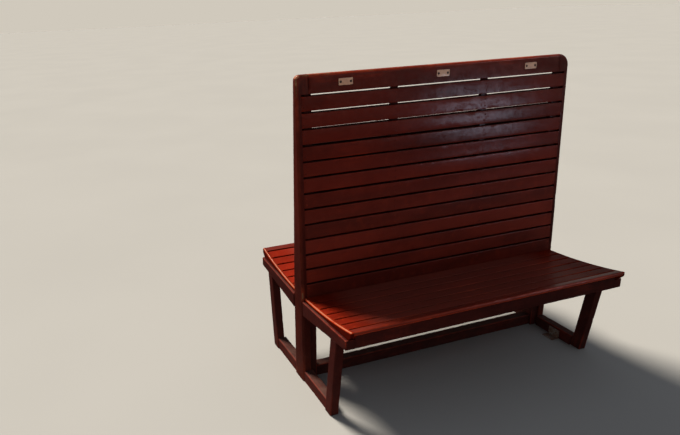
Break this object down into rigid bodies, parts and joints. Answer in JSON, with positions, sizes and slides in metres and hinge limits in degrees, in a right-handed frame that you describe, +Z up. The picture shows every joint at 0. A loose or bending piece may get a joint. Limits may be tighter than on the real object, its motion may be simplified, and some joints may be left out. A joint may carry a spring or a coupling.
{
  "type": "double-sided slatted railway coach bench seat",
  "caption": "Back-to-back wooden bench seat from a railway passenger coach: slatted dished seats, a tall slatted wedge back and sloping legs, painted dark red.",
  "frame": {"origin": "on the floor, under the middle of the bench", "axes": "+Z up; +X along the bench from the aisle end to the wall end; +Y across the bench towards the far seat"},
  "size_m": [1.28, 0.896, 1.2834],
  "materials": {
    "seat_paint": "gloss paint over wood, worn at the edges",
    "frame_paint": "gloss paint over wood, dusty near the floor",
    "plate_enamel": "cream enamel, blank",
    "bracket_steel": "dark painted steel"
  },
  "bodies": {
    "root": {"aisle_end_post": "frame_paint", "aisle_end_stud": "frame_paint", "aisle_side_middle_stud": "frame_paint", "back_slats_far": "seat_paint", "back_slats_near": "seat_paint", "back_top_rail": "seat_paint", "centre_beam": "frame_paint", "floor_brackets_aisle": "bracket_steel", "floor_brackets_wall": "bracket_steel", "floor_sill_aisle_far": "frame_paint", "floor_sill_aisle_near": "frame_paint", "floor_sill_wall_far": "frame_paint", "floor_sill_wall_near": "frame_paint", "floor_stretcher": "frame_paint", "leg_aisle_far": "frame_paint", "leg_aisle_near": "frame_paint", "leg_wall_far": "frame_paint", "leg_wall_near": "frame_paint", "number_plates_far": "plate_enamel", "number_plates_near": "plate_enamel", "seat_apron_far": "frame_paint", "seat_apron_near": "frame_paint", "seat_end_bearer_aisle_far": "frame_paint", "seat_end_bearer_aisle_near": "frame_paint", "seat_end_bearer_wall_far": "frame_paint", "seat_end_bearer_wall_near": "frame_paint", "seat_end_cap_aisle_far": "seat_paint", "seat_end_cap_aisle_near": "seat_paint", "seat_end_cap_wall_far": "seat_paint", "seat_end_cap_wall_near": "seat_paint", "seat_end_rail_aisle_far": "frame_paint", "seat_end_rail_aisle_near": "frame_paint", "seat_end_rail_wall_far": "frame_paint", "seat_end_rail_wall_near": "frame_paint", "seat_front_strip_far": "seat_paint", "seat_front_strip_near": "seat_paint", "seat_middle_bearer_aisle_far": "frame_paint", "seat_middle_bearer_aisle_near": "frame_paint", "seat_middle_bearer_wall_far": "frame_paint", "seat_middle_bearer_wall_near": "frame_paint", "seat_slats_far": "seat_paint", "seat_slats_near": "seat_paint", "wall_end_post": "frame_paint", "wall_end_stud": "frame_paint", "wall_side_middle_stud": "frame_paint"}
  },
  "joints": []
}
